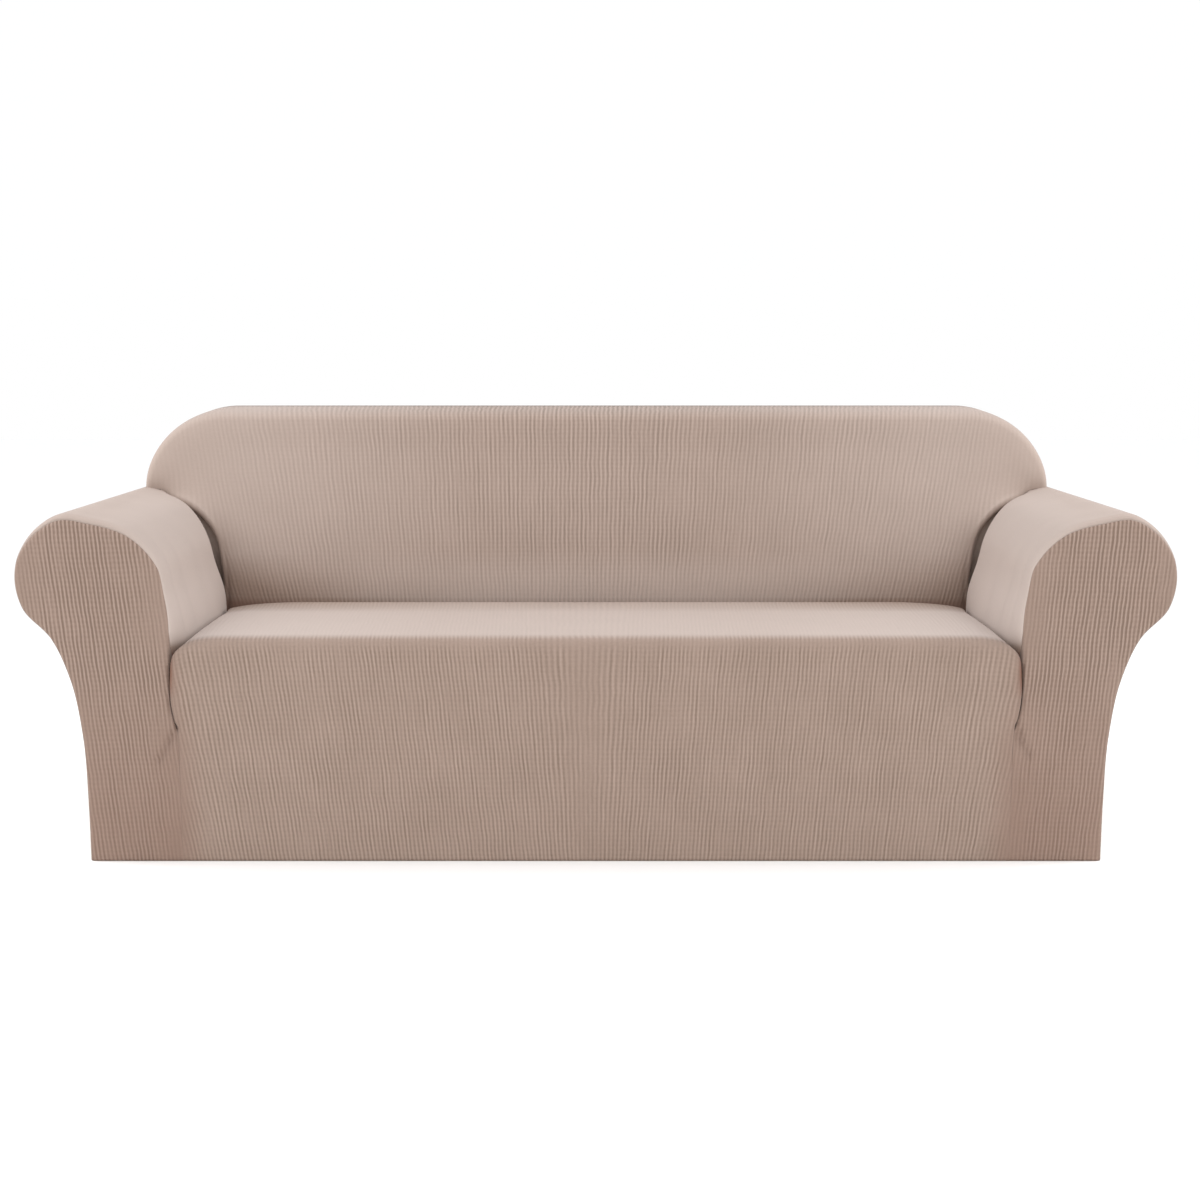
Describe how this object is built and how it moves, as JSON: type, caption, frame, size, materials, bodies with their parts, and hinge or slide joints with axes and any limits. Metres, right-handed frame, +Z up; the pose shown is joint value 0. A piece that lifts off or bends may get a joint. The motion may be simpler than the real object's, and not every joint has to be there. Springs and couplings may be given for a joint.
{
  "type": "fitted slipcover for a three-seat sofa",
  "caption": "Fitted stretch slipcover for a wide sofa with rolled arms, in a pale ribbed jacquard, hollow and open underneath.",
  "frame": {"origin": "middle of the underside of the cloth on top of the back, where what is inside holds the cover up", "axes": "+X to the right seen from the front, +Y from the front to the outside back, +Z up"},
  "size_m": [2.0996, 0.8944, 0.8041],
  "materials": {
    "jacquard": "stretch polyester jacquard in pale taupe with fine upright ribs"
  },
  "bodies": {
    "root": {"seat_panel": "jacquard", "back_panel": "jacquard", "rear_panel": "jacquard", "arm_left": "jacquard", "arm_right": "jacquard", "arm_front_left": "jacquard", "arm_front_right": "jacquard"}
  },
  "joints": []
}
